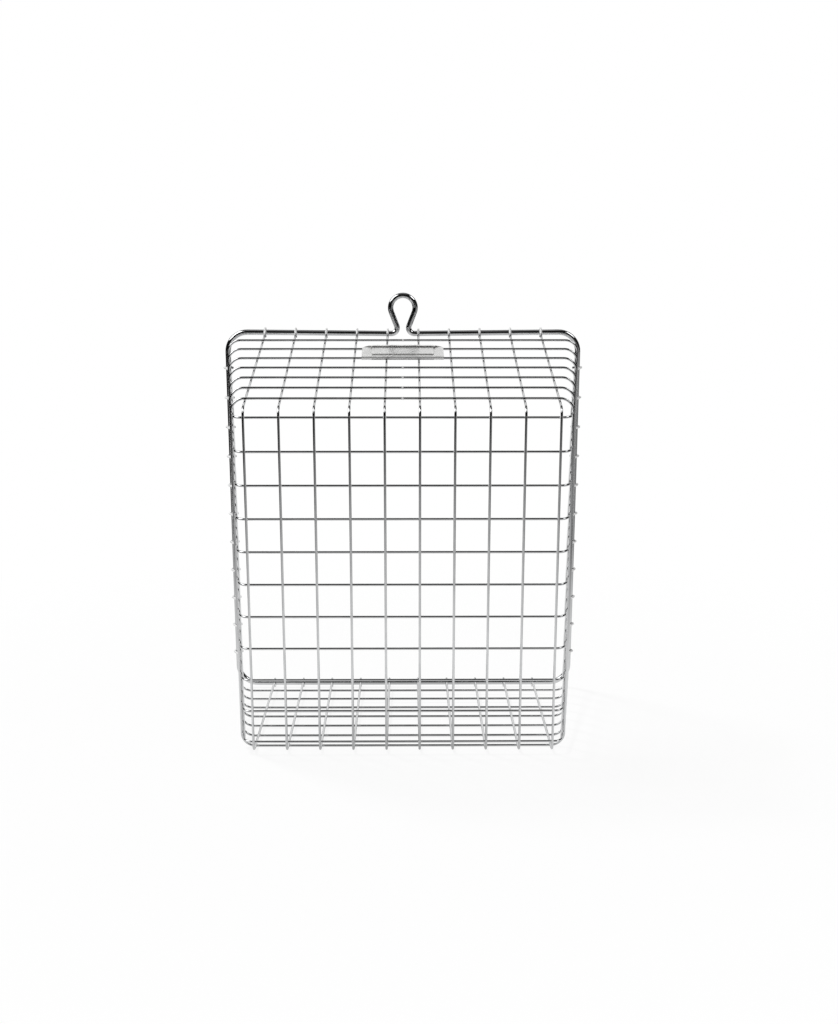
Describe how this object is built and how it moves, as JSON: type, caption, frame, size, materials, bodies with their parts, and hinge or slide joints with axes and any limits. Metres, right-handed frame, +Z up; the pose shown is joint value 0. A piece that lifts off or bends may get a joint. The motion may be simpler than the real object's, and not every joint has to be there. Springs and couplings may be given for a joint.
{
  "type": "wire cage basket",
  "caption": "Open-backed cage basket of welded chromed wire mesh, with tapered walls, a heavy rod rim bent up into a hasp loop, and a clip-on blank label plate.",
  "frame": {"origin": "bottom centre of the bounding box, on the surface the basket stands on", "axes": "+Z up, towards the hasp loop; -Y towards the closed mesh face; +Y towards the open rim; +X to the right seen from the closed face"},
  "size_m": [0.3128, 0.2396, 0.363],
  "materials": {
    "rod_chrome": "bright chrome plate on steel rod",
    "wire_chrome": "bright chrome plate on drawn steel wire",
    "label_steel": "satin plated sheet",
    "card_steel": "satin blank strip"
  },
  "bodies": {
    "root": {"rim_rod": "rod_chrome", "long_wire_01": "wire_chrome", "long_wire_02": "wire_chrome", "long_wire_03": "wire_chrome", "long_wire_04": "wire_chrome", "long_wire_05": "wire_chrome", "long_wire_06": "wire_chrome", "long_wire_07": "wire_chrome", "long_wire_08": "wire_chrome", "long_wire_09": "wire_chrome", "long_wire_10": "wire_chrome", "cross_wire_01": "wire_chrome", "cross_wire_02": "wire_chrome", "cross_wire_03": "wire_chrome", "cross_wire_04": "wire_chrome", "cross_wire_05": "wire_chrome", "cross_wire_06": "wire_chrome", "cross_wire_07": "wire_chrome", "cross_wire_08": "wire_chrome", "cross_wire_09": "wire_chrome", "cross_wire_10": "wire_chrome", "cross_wire_11": "wire_chrome", "hoop_1": "wire_chrome", "hoop_2": "wire_chrome", "hoop_3": "wire_chrome", "hoop_4": "wire_chrome", "hoop_5": "wire_chrome", "hoop_6": "wire_chrome", "hoop_7": "wire_chrome", "label_plate": "label_steel", "label_card": "card_steel"}
  },
  "joints": []
}
